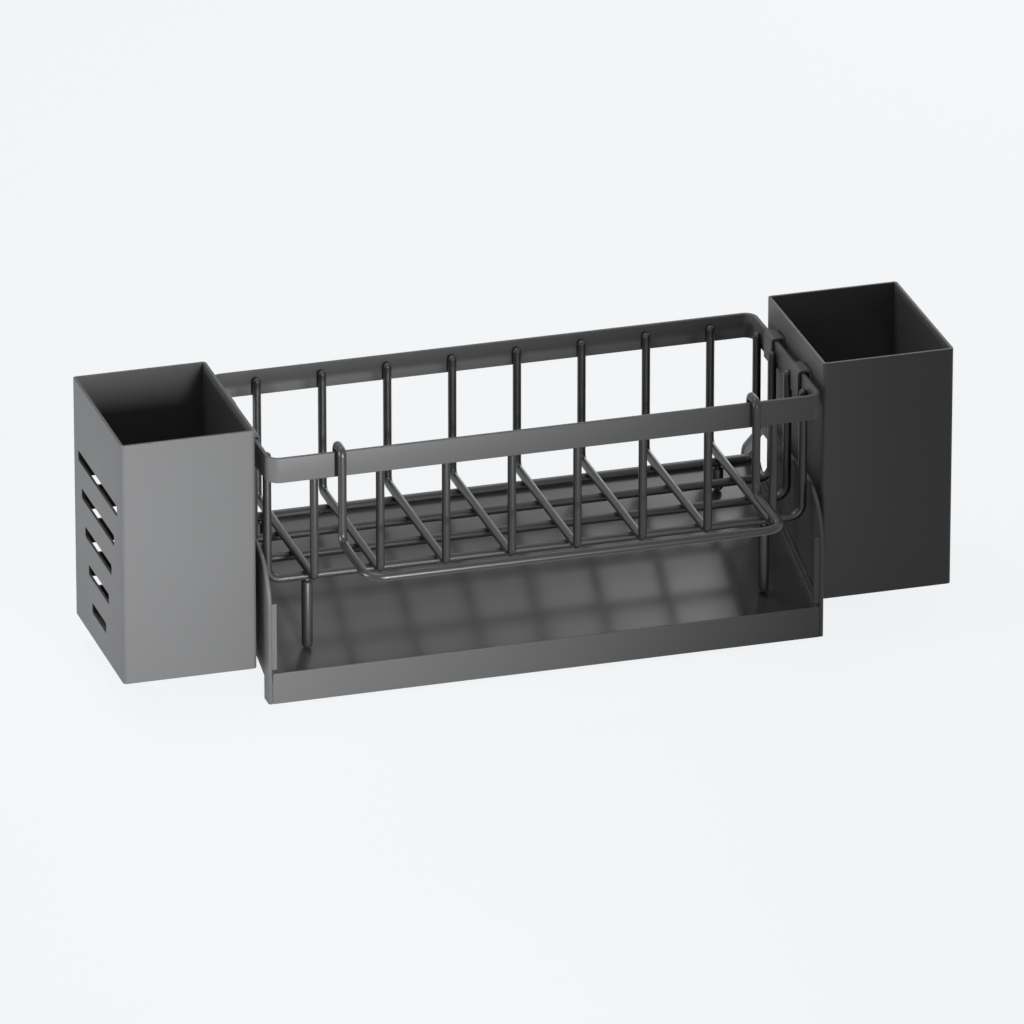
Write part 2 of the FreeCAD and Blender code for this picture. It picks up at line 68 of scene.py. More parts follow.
STRIP_EDGE_STEPS = 4             # steps across an eased edge of a strip
BEAD_SUBDIVISIONS = 2
SHEET_EDGE_STEPS = 2             # steps across an eased edge of a sheet
FLAT_ANGLE = math.radians(0.5)   # faces that turn less than this become one
EDGE_ANGLE = math.radians(40)    # edges that turn more than this are eased
Colour = tuple[float, float, float]
Place = tuple[float, float, float]


class Body(Enum):
    """The bodies that the pieces ride on."""

    TRAY = "tray"
    BASKET = "basket"
    LEFT_BOX = "left_box_unit"
    RIGHT_BOX = "right_box_unit"
    RAIL = "rail"


class Slot(Enum):
    """The record's material slots."""

    WIRE = "coated_wire"
    SHEET = "coated_sheet"
    TRAY = "tray_sheet"


class Side(Enum):
    """The two ends of the caddy."""

    LEFT = "left"
    RIGHT = "right"


class Graph:
    """A node tree under construction."""

    def __init__(self, tree: bpy.types.NodeTree) -> None:
        """Wraps a tree that exists."""
        self.tree = tree
        self.source: dict[str, bpy.types.NodeSocket] = {}

    @classmethod
    def group(cls, name: str, kind: str, inputs: Sequence[tuple[str, str, Any]]) -> Graph:
        """Starts a node group with named inputs.

        Args:
            name: Name of the group.
            kind: Tree type, such as ShaderNodeTree.
            inputs: Name, socket type and default value of each input; a None default is left alone.

        Returns:
            The graph, with its inputs in source.
        """
        graph = cls(bpy.data.node_groups.new(name, kind))
        for title, socket_type, default in inputs:
            socket = graph.tree.interface.new_socket(title, in_out="INPUT", socket_type=socket_type)
            if default is not None:
                socket.default_value = default
        entry = graph.tree.nodes.new("NodeGroupInput")
        graph.source = {title: entry.outputs[title] for title, _, _ in inputs}
        return graph

    def add(self, kind: str, values: dict[str | int, Any] | None = None, **settings: Any) -> bpy.types.Node:
        """Adds a node.

        Args:
            kind: Node type.
            values: Constant or source socket for each input, by name or number.
            **settings: Node properties, set before the inputs.

        Returns:
            The new node.
        """
        node = self.tree.nodes.new(kind)
        for name, value in settings.items():
            setattr(node, name, value)
        for key, value in (values or {}).items():
            if isinstance(value, bpy.types.NodeSocket):
                self.tree.links.new(value, node.inputs[key])
            else:
                node.inputs[key].default_value = value
        return node

    def math(self, operation: str, first: Any, second: Any = 0.0,
             clamp: bool = False) -> bpy.types.NodeSocket:
        """Adds a calculation with two values.

        Args:
            operation: Math operation, such as MULTIPLY.
            first: First constant or socket.
            second: Second constant or socket.
            clamp: Whether the result is kept between 0 and 1.

        Returns:
            The result's socket.
        """
        node = self.add("ShaderNodeMath", {0: first, 1: second}, operation=operation, use_clamp=clamp)
        return node.outputs[0]

    def mix(self, share: Any, first: Any, second: Any, colour: bool = False) -> bpy.types.NodeSocket:
        """Adds a blend of two values or two colours.

        Args:
            share: Share of the second one, constant or socket.
            first: First constant or socket.
            second: Second constant or socket.
            colour: Whether they are colours.

        Returns:
            The result's socket.
        """
        kind, start, result = ("RGBA", 6, 2) if colour else ("FLOAT", 2, 0)    # a Mix node's own numbers
        node = self.add("ShaderNodeMix", {0: share, start: first, start + 1: second}, data_type=kind)
        return node.outputs[result]

    def close(self, outputs: dict[str, tuple[str, bpy.types.NodeSocket]]) -> bpy.types.NodeTree:
        """Gives the group its outputs.

        Args:
            outputs: Socket type and source socket of each output, by name.

        Returns:
            The finished tree.
        """
        for title, (socket_type, _) in outputs.items():
            self.tree.interface.new_socket(title, in_out="OUTPUT", socket_type=socket_type)
        self.add("NodeGroupOutput", {title: socket for title, (_, socket) in outputs.items()})
        return self.tree


class CoatEffects:
    """Shader groups that the coatings share."""

    DRIFT_DETAIL = 4.0           # fineness of each noise, in octaves
    GLOSS_DETAIL = 6.0
    GRAIN_DETAIL = 1.0
    PEEL_DETAIL = 2.0
    PATCH_DETAIL = 3.0
    EDGE_GAIN = 4.0              # how fast the mask of painted edge highlights rises as a face turns
    EDGE_SAMPLES = 4

    def __init__(self) -> None:
        """Builds each group once."""
        self.drift = self._drift()
        self.gloss = self._gloss()
        self.grain = self._grain()
        self.edge_highlight = self._edge_highlight()

    @staticmethod
    def _noise(graph: Graph, scale: Any, detail: float) -> bpy.types.NodeSocket:
        """Adds a noise on object coordinates and returns its value."""
        place = graph.add("ShaderNodeTexCoord").outputs["Object"]
        noise = graph.add("ShaderNodeTexNoise", {"Vector": place, "Scale": scale, "Detail": detail})
        return noise.outputs[0]

    def _drift(self) -> bpy.types.NodeTree:
        """Builds the slow wander of a coating's colour.

        Returns:
            A group with inputs Colour, Amount and Scale and the output Colour.
        """
        graph = Graph.group("Colour drift", "ShaderNodeTree", (
            ("Colour", "NodeSocketColor", None),
            ("Amount", "NodeSocketFloat", 0.05),
            ("Scale", "NodeSocketFloat", 20.0),
        ))
        noise = self._noise(graph, graph.source["Scale"], self.DRIFT_DETAIL)
        swing = graph.math("MULTIPLY", graph.math("SUBTRACT", noise, 0.5), graph.source["Amount"])
        level = graph.math("ADD", graph.math("MULTIPLY", swing, 2.0), 1.0)
        tinted = graph.add(
            "ShaderNodeVectorMath", {0: graph.source["Colour"], "Scale": level}, operation="SCALE")
        return graph.close({"Colour": ("NodeSocketColor", tinted.outputs[0])})

    def _gloss(self) -> bpy.types.NodeTree:
        """Builds the uneven gloss that handling and wiping leave.

        Returns:
            A group with inputs Roughness, Swing and Scale and the output Roughness.
        """
        graph = Graph.group("Handled gloss", "ShaderNodeTree", (
            ("Roughness", "NodeSocketFloat", 0.4),
            ("Swing", "NodeSocketFloat", 0.1),
            ("Scale", "NodeSocketFloat", 30.0),
        ))
        noise = self._noise(graph, graph.source["Scale"], self.GLOSS_DETAIL)
        swing = graph.math("MULTIPLY", graph.math("SUBTRACT", noise, 0.5), graph.source["Swing"])
        level = graph.math("ADD", graph.source["Roughness"], swing, clamp=True)
        return graph.close({"Roughness": ("NodeSocketFloat", level)})

    def _grain(self) -> bpy.types.NodeTree:
        """Builds the fine skin of a baked coating: grain over a soft orange peel.

        Returns:
            A group with inputs Grain scale, Peel scale and Peel share and the output Height.
        """
        graph = Graph.group("Coat grain", "ShaderNodeTree", (
            ("Grain scale", "NodeSocketFloat", 3000.0),
            ("Peel scale", "NodeSocketFloat", 600.0),
            ("Peel share", "NodeSocketFloat", 0.6),
        ))
        grain = self._noise(graph, graph.source["Grain scale"], self.GRAIN_DETAIL)
        peel = self._noise(graph, graph.source["Peel scale"], self.PEEL_DETAIL)
        height = graph.mix(graph.source["Peel share"], grain, peel)
        return graph.close({"Height": ("NodeSocketFloat", height)})

    def _edge_highlight(self) -> bpy.types.NodeTree:
        """Builds the mask of edges that take a painted highlight, in noisy patches.

        Returns:
            A group with inputs Width, Amount and Scale and the output Mask.
        """
        graph = Graph.group("Painted edge highlights", "ShaderNodeTree", (
            ("Width", "NodeSocketFloat", 0.0005),
            ("Amount", "NodeSocketFloat", 0.5),
            ("Scale", "NodeSocketFloat", 150.0),
        ))
        rounded = graph.add(
            "ShaderNodeBevel", {"Radius": graph.source["Width"]}, samples=self.EDGE_SAMPLES)
        facing = graph.add("ShaderNodeNewGeometry").outputs["Normal"]
        match = graph.add(
            "ShaderNodeVectorMath", {0: rounded.outputs[0], 1: facing}, operation="DOT_PRODUCT")
        turned = graph.math("SUBTRACT", 1.0, match.outputs["Value"])
        edge = graph.math("MULTIPLY", turned, self.EDGE_GAIN, clamp=True)
        patches = self._noise(graph, graph.source["Scale"], self.PATCH_DETAIL)
        patchy_highlight = graph.math("MULTIPLY", edge, patches)
        mask = graph.math("MULTIPLY", patchy_highlight, graph.source["Amount"], clamp=True)
        return graph.close({"Mask": ("NodeSocketFloat", mask)})


@dataclass(frozen=True)
class CoatFinish:
    """A baked dark grey coating on steel."""

    name: str
    slot: Slot
    colour: Colour               # linear
    drift: float                 # share by which the colour wanders
    drift_scale: float
    roughness: float
    swing: float                 # change of roughness from place to place
    specular: float
    grain_depth: float
    peel_share: float
    edge_highlight: float = 0.0          # strength of the painted highlight along edges
    # lighter colour of the painted highlight along edges
    edge_highlight_colour: Colour = (0.2, 0.2, 0.2)

    def material(self, effects: CoatEffects) -> bpy.types.Material:
        """Builds the material.

        Args:
            effects: The groups that the coatings share.

        Returns:
            The material, ready to assign.
        """
        material = bpy.data.materials.new(self.name)
        material.use_nodes = True
        graph = Graph(material.node_tree)
        graph.tree.nodes.clear()
        drift = graph.add("ShaderNodeGroup", {
            "Colour": (*self.colour, 1.0),
            "Amount": self.drift,
            "Scale": self.drift_scale,
        }, node_tree=effects.drift)
        gloss = graph.add("ShaderNodeGroup", {
            "Roughness": self.roughness, "Swing": self.swing}, node_tree=effects.gloss)
        grain = graph.add("ShaderNodeGroup", {"Peel share": self.peel_share}, node_tree=effects.grain)
        bump = graph.add("ShaderNodeBump", {
            "Strength": 1.0, "Distance": self.grain_depth, "Height": grain.outputs["Height"]})
        colour = drift.outputs["Colour"]
        # edges are mixed toward a lighter colour: a painted highlight along the edges
        if self.edge_highlight > 0:
            edge_highlight = graph.add("ShaderNodeGroup", {"Amount": self.edge_highlight}, node_tree=effects.edge_highlight)
            colour = graph.mix(edge_highlight.outputs["Mask"], colour, (*self.edge_highlight_colour, 1.0), colour=True)
        shader = graph.add("ShaderNodeBsdfPrincipled", {
            "Base Color": colour,
            "Roughness": gloss.outputs["Roughness"],
            "Specular IOR Level": self.specular,
            "Normal": bump.outputs[0],
        })
        graph.add("ShaderNodeOutputMaterial", {"Surface": shader.outputs[0]})
        return material


WIRE_COAT = CoatFinish(
    name="Coated wire", slot=Slot.WIRE, colour=(0.021, 0.0212, 0.0215),
    drift=0.08, drift_scale=60.0, roughness=0.36, swing=0.12, specular=0.5,
    grain_depth=0.000012, peel_share=0.7)
SHEET_COAT = CoatFinish(
    name="Coated sheet", slot=Slot.SHEET, colour=(0.1, 0.101, 0.103),
    drift=0.05, drift_scale=14.0, roughness=0.48, swing=0.1, specular=0.25,
    grain_depth=0.00001, peel_share=0.6, edge_highlight=0.5)
TRAY_COAT = CoatFinish(
    name="Tray coating", slot=Slot.TRAY, colour=(0.035, 0.0352, 0.0354),
    drift=0.06, drift_scale=11.0, roughness=0.25, swing=0.08, specular=0.9,
    grain_depth=0.000008, peel_share=0.7, edge_highlight=0.5)


@dataclass
class Workshop:
    """What all the sub-assemblies are made with."""

    effects: CoatEffects = field(default_factory=CoatEffects)
    coats: dict[Slot, bpy.types.Material] = field(default_factory=dict)

    def coat(self, finish: CoatFinish) -> bpy.types.Material:
        """Gives the material of a finish, made the first time it is asked for."""
        if finish.slot not in self.coats:
            self.coats[finish.slot] = finish.material(self.effects)
        return self.coats[finish.slot]

    def hand_over(self, piece: bpy.types.Object, body: Body, finish: CoatFinish,
                  nodes: Iterable[str] = ()) -> None:
        """Puts a finished piece on its body and reports it.

        Args:
            piece: The piece, in place.
            body: The body that it rides on.
            finish: Its finish; not used.
            nodes: The solids that it stands for.
        """
        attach(piece, body.value)
        names = list(nodes)
        if names:
            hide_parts(*names)
        LOG.info("%s rides on %s, for %d solids", piece.name, body.value, len(names))


@dataclass
class PathPoint:
    """A corner or an end of a wire's path."""

    place: Vector
    bend: float = 0.0
    girth: float = 1.0


def new_object(name: str, mesh: bpy.types.Mesh) -> bpy.types.Object:
    """Links a mesh to the scene under a name."""
    piece = bpy.data.objects.new(name, mesh)
    bpy.context.scene.collection.objects.link(piece)
    return piece


def dome(end: Vector, inner: Vector, radius: float, steps: int = 5) -> list[PathPoint]:
    """Rounds off the end of a wire.

    Args:
        end: Tip of the wire.
        inner: A point of the path behind the tip.
        radius: Wire radius.
        steps: Rings of the dome.

    Returns:
        Path points from the tip inward, each with its share of the radius.
    """
    along = (inner - end).normalized()
    points = []
    for step in range(1, steps + 1):
        angle = math.pi / 2 * step / steps
        points.append(PathPoint(end + along * radius * (1 - math.cos(angle)), girth=math.sin(angle)))
    return points


def path_mesh(name: str, points: Sequence[PathPoint]) -> bpy.types.Mesh:
    """Makes a chain of edges that carries the bend and girth of each point.

    Args:
        name: Name of the mesh.
        points: The path, end to end.

    Returns:
        The mesh.
    """
    mesh = bpy.data.meshes.new(name)
    edges = [(index, index + 1) for index in range(len(points) - 1)]
    mesh.from_pydata([point.place for point in points], edges, [])
    for title, values in ((BEND, [p.bend for p in points]), (GIRTH, [p.girth for p in points])):
        attribute = mesh.attributes.new(title, "FLOAT", "POINT")
        attribute.data.foreach_set("value", values)
    return mesh


def grow(name: str, base: bpy.types.Mesh, tree: bpy.types.NodeTree,
         inputs: dict[str, Any]) -> bpy.types.Mesh:
    """Runs a Geometry Nodes tree on a mesh and keeps the result as a plain mesh.

    Args:
        name: Name of the result.
        base: The mesh that the tree starts from.
        tree: The tree.
        inputs: Values of the tree's inputs, by name; Finish is the material.

    Returns:
        The plain mesh, with that material alone.
    """
    carrier = new_object(name, base)
    modifier = carrier.modifiers.new("Grow", "NODES")
    modifier.node_group = tree
    for item in tree.interface.items_tree:
        if item.item_type == "SOCKET" and item.in_out == "INPUT" and item.name in inputs:
            modifier[item.identifier] = inputs[item.name]
    evaluated = carrier.evaluated_get(bpy.context.evaluated_depsgraph_get())
    mesh = bpy.data.meshes.new_from_object(evaluated)
    mesh.name = name
    mesh.materials.clear()
    mesh.materials.append(inputs["Finish"])
    mesh.polygons.foreach_set("material_index", [0] * len(mesh.polygons))
    bpy.data.objects.remove(carrier)
    bpy.data.meshes.remove(base)
    return mesh


def joined(name: str, meshes: Sequence[bpy.types.Mesh]) -> bpy.types.Mesh:
    """Puts several meshes of one material into one.

    Args:
        name: Name of the result.
        meshes: The meshes, which are used up.

    Returns:
        The joined mesh, with the first mesh's material.
    """
    build = bmesh.new()
    material = meshes[0].materials[0]
    for mesh in meshes:
        build.from_mesh(mesh)
        bpy.data.meshes.remove(mesh)
    result = bpy.data.meshes.new(name)
    build.to_mesh(result)
    build.free()
    result.materials.append(material)
    return result


def finish_tree(graph: Graph, geometry: bpy.types.NodeSocket,
                material: bpy.types.NodeSocket) -> bpy.types.NodeTree:
    """Ends a Geometry Nodes tree: smooth faces, real geometry, material.

    Args:
        graph: The tree so far.
        geometry: What it has made.
        material: The material's socket.

    Returns:
        The finished tree.
    """
    smooth = graph.add("GeometryNodeSetShadeSmooth", {"Geometry": geometry})
    real = graph.add("GeometryNodeRealizeInstances", {"Geometry": smooth.outputs[0]})
    dressed = graph.add("GeometryNodeSetMaterial", {"Geometry": real.outputs[0], "Material": material})
    return graph.close({"Geometry": ("NodeSocketGeometry", dressed.outputs[0])})


def wire_tree() -> bpy.types.NodeTree:
    """Builds the tree that draws round wire along a path and repeats it in a row.

    Returns:
        A tree with inputs Path, Radius, Sides, Bend steps, Copies, Step and Finish.
    """
    graph = Graph.group("Bent wire", "GeometryNodeTree", (
        ("Path", "NodeSocketGeometry", None),
        ("Radius", "NodeSocketFloat", 0.002),
        ("Sides", "NodeSocketInt", WIRE_SIDES),
        ("Bend steps", "NodeSocketInt", 8),
        ("Copies", "NodeSocketInt", 1),
        ("Step", "NodeSocketVector", None),
        ("Finish", "NodeSocketMaterial", None),
    ))
    bend = graph.add("GeometryNodeInputNamedAttribute", {"Name": BEND}, data_type="FLOAT")
    girth = graph.add("GeometryNodeInputNamedAttribute", {"Name": GIRTH}, data_type="FLOAT")
    corners = graph.add("GeometryNodeMeshToCurve", {"Mesh": graph.source["Path"]})
    bent = graph.add("GeometryNodeFilletCurve", {
        "Curve": corners.outputs[0],
        "Count": graph.source["Bend steps"],
        "Radius": bend.outputs[0],
    }, mode="POLY")
    chain = graph.add("GeometryNodeCurveToMesh", {"Curve": bent.outputs[0]})
    single = graph.add("GeometryNodeMergeByDistance", {
        "Geometry": chain.outputs[0], "Distance": SAME_PLACE})
    axis = graph.add("GeometryNodeMeshToCurve", {"Mesh": single.outputs[0]})
    section = graph.add("GeometryNodeCurvePrimitiveCircle", {
        "Resolution": graph.source["Sides"], "Radius": graph.source["Radius"]}, mode="RADIUS")
    wire = graph.add("GeometryNodeCurveToMesh", {
        "Curve": axis.outputs[0],
        "Profile Curve": section.outputs[0],
        "Scale": girth.outputs[0],
        "Fill Caps": True,
    })
    row = graph.add("GeometryNodeMeshLine", {
        "Count": graph.source["Copies"], "Offset": graph.source["Step"]})
    copies = graph.add("GeometryNodeInstanceOnPoints", {
        "Points": row.outputs[0], "Instance": wire.outputs[0]})
    return finish_tree(graph, copies.outputs[0], graph.source["Finish"])


def band_tree() -> bpy.types.NodeTree:
    """Builds the tree that bends a flat strip into a ring with round corners.

    Returns:
        A tree with inputs Base, Length, Depth, Corner, Thickness, Height, Edge, Middle and Finish.
    """
    graph = Graph.group("Bent strip", "GeometryNodeTree", (
        ("Base", "NodeSocketGeometry", None),
        ("Length", "NodeSocketFloat", 0.26),
        ("Depth", "NodeSocketFloat", 0.1),
        ("Corner", "NodeSocketFloat", 0.008),
        ("Thickness", "NodeSocketFloat", 0.002),
        ("Height", "NodeSocketFloat", 0.012),
        ("Edge", "NodeSocketFloat", 0.0004),
        ("Middle", "NodeSocketVector", None),
        ("Finish", "NodeSocketMaterial", None),
    ))
    length = graph.math("SUBTRACT", graph.source["Length"], graph.source["Thickness"])
    depth = graph.math("SUBTRACT", graph.source["Depth"], graph.source["Thickness"])
    half = graph.math("MULTIPLY", graph.source["Thickness"], 0.5)
    corner = graph.math("SUBTRACT", graph.source["Corner"], half)
    ring = graph.add("GeometryNodeCurvePrimitiveQuadrilateral", {"Width": length, "Height": depth})
    bent = graph.add("GeometryNodeFilletCurve", {
        "Curve": ring.outputs[0], "Count": CORNER_STEPS, "Radius": corner}, mode="POLY")
    upright = graph.add("GeometryNodeSetCurveNormal", {"Curve": bent.outputs[0]}, mode="Z_UP")
    section = graph.add("GeometryNodeCurvePrimitiveQuadrilateral", {
        "Width": graph.source["Thickness"], "Height": graph.source["Height"]})
    eased = graph.add("GeometryNodeFilletCurve", {
        "Curve": section.outputs[0],
        "Count": STRIP_EDGE_STEPS,
        "Radius": graph.source["Edge"],
    }, mode="POLY")
    strip = graph.add("GeometryNodeCurveToMesh", {
        "Curve": upright.outputs[0], "Profile Curve": eased.outputs[0]})
    placed = graph.add("GeometryNodeTransform", {
        "Geometry": strip.outputs[0], "Translation": graph.source["Middle"]})
    return finish_tree(graph, placed.outputs[0], graph.source["Finish"])


def bead_tree() -> bpy.types.NodeTree:
    """Builds the tree that sets a small weld bead on each point.

    Returns:
        A tree with inputs Places, Size and Finish; Size is half of a bead's length, width and height.
    """
    graph = Graph.group("Weld beads", "GeometryNodeTree", (
        ("Places", "NodeSocketGeometry", None),
        ("Size", "NodeSocketVector", None),
        ("Finish", "NodeSocketMaterial", None),
    ))
    bead = graph.add("GeometryNodeMeshIcoSphere", {"Radius": 1.0, "Subdivisions": BEAD_SUBDIVISIONS})
    beads = graph.add("GeometryNodeInstanceOnPoints", {
        "Points": graph.source["Places"], "Instance": bead.outputs[0], "Scale": graph.source["Size"]})
    return finish_tree(graph, beads.outputs[0], graph.source["Finish"])


def point_mesh(name: str, places: Iterable[Vector]) -> bpy.types.Mesh:
    """Makes a mesh of loose points."""
    mesh = bpy.data.meshes.new(name)
    mesh.from_pydata(list(places), [], [])
    return mesh


def softened(name: str, solid: bpy.types.Object, material: bpy.types.Material,
             edge: float) -> bpy.types.Object:
    """Copies a solid's mesh as a sheet piece with eased edges.

    Args:
        name: Name of the piece.
        solid: The solid's object, which stays as it is.
        material: The piece's material.
        edge: Width of the eased edges.

    Returns:
        The piece.
    """
    build = bmesh.new()
    build.from_mesh(solid.data)
    bmesh.ops.remove_doubles(build, verts=build.verts, dist=SAME_PLACE)
    bmesh.ops.dissolve_limit(build, angle_limit=FLAT_ANGLE, verts=build.verts, edges=build.edges)
    mesh = bpy.data.meshes.new(name)
    build.to_mesh(mesh)
    build.free()
    mesh.materials.append(material)
    for polygon in mesh.polygons:
        polygon.use_smooth = True
    piece = new_object(name, mesh)
    eased = piece.modifiers.new("Eased edges", "BEVEL")
    eased.width = edge
    eased.segments = SHEET_EDGE_STEPS
    eased.limit_method = "ANGLE"
    eased.angle_limit = EDGE_ANGLE
    eased.use_clamp_overlap = False      # or the shortest edge would set the width of all
    eased.loop_slide = False             # or the seam between two slots would open
    piece.modifiers.new("Flat faces stay flat", "WEIGHTED_NORMAL")
    return piece


@dataclass
class Basket:
    """The wire basket: rim band, cross wires, long wires, feet and weld beads."""

    workshop: Workshop
    wire_radius: float = 0.002
    cross_bend: float = 0.0034
    long_bend: float = 0.006
    cross_count: int = 8
    long_count: int = 4
    bend_steps: int = 10
    foot_sides: int = 28
    foot_steps: int = 8          # rings of a foot's round end
    foot_crown: float = 0.5      # rise of a foot's top, as a share of its radius
    foot_sharp: float = 50.0     # degrees between faces that aren't shaded as one
    rim_thickness: float = 0.002
    rim_corner: float = 0.0065
    rim_edge: float = 0.0005
    rim_sharp: float = 30.0      # degrees
    crossing_bead: Vector = field(default_factory=lambda: Vector((0.0019, 0.0019, 0.0008)))
    peg_bead: Vector = field(default_factory=lambda: Vector((0.0016, 0.0016, 0.0016)))
    long_rim_bead: Vector = field(default_factory=lambda: Vector((0.0008, 0.0016, 0.0036)))
    cross_rim_bead: Vector = field(default_factory=lambda: Vector((0.0016, 0.0008, 0.0036)))

    def __post_init__(self) -> None:
        """Names the solids of the two layers of wire."""
        self.cross_nodes = [f"cross_wire_{number + 1}" for number in range(self.cross_count)]
        self.long_nodes = [f"long_wire_{number + 1}" for number in range(self.long_count)]
        self.feet = {row: [f"{side.value}_foot_{row}" for side in Side] for row in ("front", "rear")}
        self.tree = wire_tree()
        self.coat = self.workshop.coat(WIRE_COAT)

    def build(self) -> None:
        """Builds and hands over all the basket's pieces."""
        self.build_rim()
        self.build_wires("cross_wires", self.cross_nodes, self.cross_bend, Vector((0, 1, 0)))
        self.build_wires("long_wires", self.long_nodes, self.long_bend, Vector((1, 0, 0)))
        for row, nodes in self.feet.items():
            self.build_feet(f"{row}_feet", nodes)
        self.build_beads()

    def build_rim(self) -> None:
        """Bends the flat band into its ring."""
        low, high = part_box("rim_band")
        size = high - low
        mesh = grow("rim_strip", point_mesh("rim_start", [Vector()]), band_tree(), {
            "Length": size.x, "Depth": size.y, "Height": size.z, "Corner": self.rim_corner,
            "Thickness": self.rim_thickness, "Edge": self.rim_edge, "Middle": (low + high) / 2,
            "Finish": self.workshop.coat(SHEET_COAT)})
        mesh.set_sharp_from_angle(angle=math.radians(self.rim_sharp))
        self.workshop.hand_over(new_object("rim_strip", mesh), Body.BASKET, SHEET_COAT, ["rim_band"])

    def build_wires(self, name: str, nodes: Sequence[str], bend: float, run: Vector) -> None:
        """Bends one layer of U-shaped wires.

        Args:
            name: Name of the piece.
            nodes: The solids, in order along the row.
            bend: Axis radius of the corners.
            run: Direction of the floor run.
        """
        low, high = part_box(nodes[0])
        last_low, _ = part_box(nodes[-1])
        step = (last_low - low) / (len(nodes) - 1)
        middle = (low + high) / 2
        reach = run * ((high - low).dot(run) / 2 - self.wire_radius)
        floor = Vector((middle.x, middle.y, low.z + self.wire_radius))
        top = Vector((middle.x, middle.y, high.z))
        start = dome(top - reach, floor - reach, self.wire_radius)
        end = dome(top + reach, floor + reach, self.wire_radius)
        corners = [PathPoint(floor - reach, bend), PathPoint(floor + reach, bend)]
        mesh = grow(name, path_mesh(name, start + corners + end[::-1]), self.tree, {
            "Radius": self.wire_radius, "Sides": WIRE_SIDES, "Bend steps": self.bend_steps,
            "Copies": len(nodes), "Step": step, "Finish": self.coat})
        self.workshop.hand_over(new_object(name, mesh), Body.BASKET, WIRE_COAT, nodes)

    def build_feet(self, name: str, nodes: Sequence[str]) -> None:
        """Makes one pair of round-ended pegs.

        Args:
            name: Name of the piece.
            nodes: The solids of the left and the right peg.
        """
        low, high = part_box(nodes[0])
        other_low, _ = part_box(nodes[1])
        radius = (high.x - low.x) / 2
        middle = (low + high) / 2
        top = Vector((middle.x, middle.y, high.z))
        bottom = Vector((middle.x, middle.y, low.z))
        crown = dome(top, bottom, radius * self.foot_crown)
        tip = dome(bottom, top, radius, self.foot_steps)
        mesh = grow(name, path_mesh(name, tip + crown[::-1]), self.tree, {
            "Radius": radius, "Sides": self.foot_sides, "Bend steps": 1,
            "Copies": len(nodes), "Step": other_low - low, "Finish": self.coat})
        mesh.set_sharp_from_angle(angle=math.radians(self.foot_sharp))
        self.workshop.hand_over(new_object(name, mesh), Body.BASKET, WIRE_COAT, nodes)

    def build_beads(self) -> None:
        """Sets the weld beads where wires cross and where they meet the rim and the feet."""
        cross = [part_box(node) for node in self.cross_nodes]
        long = [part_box(node) for node in self.long_nodes]
        rim_low, rim_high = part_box("rim_band")
        across = [(low.x + high.x) / 2 for low, high in cross]
        depths = [(low.y + high.y) / 2 for low, high in long]
        contact = long[0][0].z + self.wire_radius * 2
        crossings = [Vector((x, y, contact)) for x in across for y in depths]
        peg_top = long[0][0].z
        pegs = [Vector((x, y, peg_top)) for x in (across[0], across[-1]) for y in (depths[0], depths[-1])]
        band = (rim_low.z + cross[0][1].z) / 2
        inside = self.rim_thickness
        long_sides = (rim_low.y + inside, rim_high.y - inside)
        short_sides = (rim_low.x + inside, rim_high.x - inside)
        front_back = [Vector((x, y, band)) for x in across for y in long_sides]
        ends = [Vector((x, y, band)) for y in depths for x in short_sides]
        tree = bead_tree()
        rows = (
            (crossings, self.crossing_bead), (pegs, self.peg_bead),
            (front_back, self.cross_rim_bead), (ends, self.long_rim_bead))
        meshes = []
        for places, size in rows:
            meshes.append(grow("beads", point_mesh("bead_places", places), tree, {
                "Size": size, "Finish": self.coat}))
        piece = new_object("weld_beads", joined("weld_beads", meshes))
        self.workshop.hand_over(piece, Body.BASKET, WIRE_COAT)


@dataclass
class ClothRail:
    """The bent wire in front that hooks over the rim."""

    workshop: Workshop
    wire_radius: float = 0.002
    gap: float = 0.0027          # between the rim's face and an upright
    bend: float = 0.005          # axis radius where an upright turns forward
    corner: float = 0.009        # axis radius at the ends of the bar
    hook_bend: float = 0.0026    # axis radius of the hook over the rim
    bend_steps: int = 12

    def build(self) -> None:
        """Bends the rail and hands it over."""
        low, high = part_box("cloth_rail")
        rim_low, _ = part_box("rim_band")
        radius = self.wire_radius
        half = high.x - radius
        level = low.z + radius
        crown = high.z - radius
        bar = low.y + radius
        tail = high.y - radius
        upright = rim_low.y - self.gap - radius
        tail_end = self.tail_end(tail)
        side = [
            PathPoint(Vector((half, tail, crown)), self.hook_bend),
            PathPoint(Vector((half, upright, crown)), self.hook_bend),
            PathPoint(Vector((half, upright, level)), self.bend),
            PathPoint(Vector((half, bar, level)), self.corner),
        ]
        right = dome(Vector((half, tail, tail_end)), side[0].place, radius) + side
        left = [PathPoint(self.mirrored(point.place), point.bend, point.girth) for point in reversed(right)]
        mesh = grow("rail_wire", path_mesh("rail_wire", right + left), wire_tree(), {
            "Radius": radius, "Sides": WIRE_SIDES, "Bend steps": self.bend_steps, "Copies": 1,
            "Finish": self.workshop.coat(WIRE_COAT)})
        self.workshop.hand_over(new_object("rail_wire", mesh), Body.RAIL, WIRE_COAT, ["cloth_rail"])

    @staticmethod
    def mirrored(place: Vector) -> Vector:
        """Gives the same place at the other end of the caddy."""
        return Vector((-place.x, place.y, place.z))

    def tail_end(self, tail: float) -> float:
        """Finds the height of the hook's free end in the solid.

        Args:
            tail: Depth of the free end's axis.

        Returns:
            The lowest height of the wire behind the rim.
        """
        points = bpy.data.objects["cloth_rail"].data.vertices
        return min(point.co.z for point in points if point.co.y > tail)


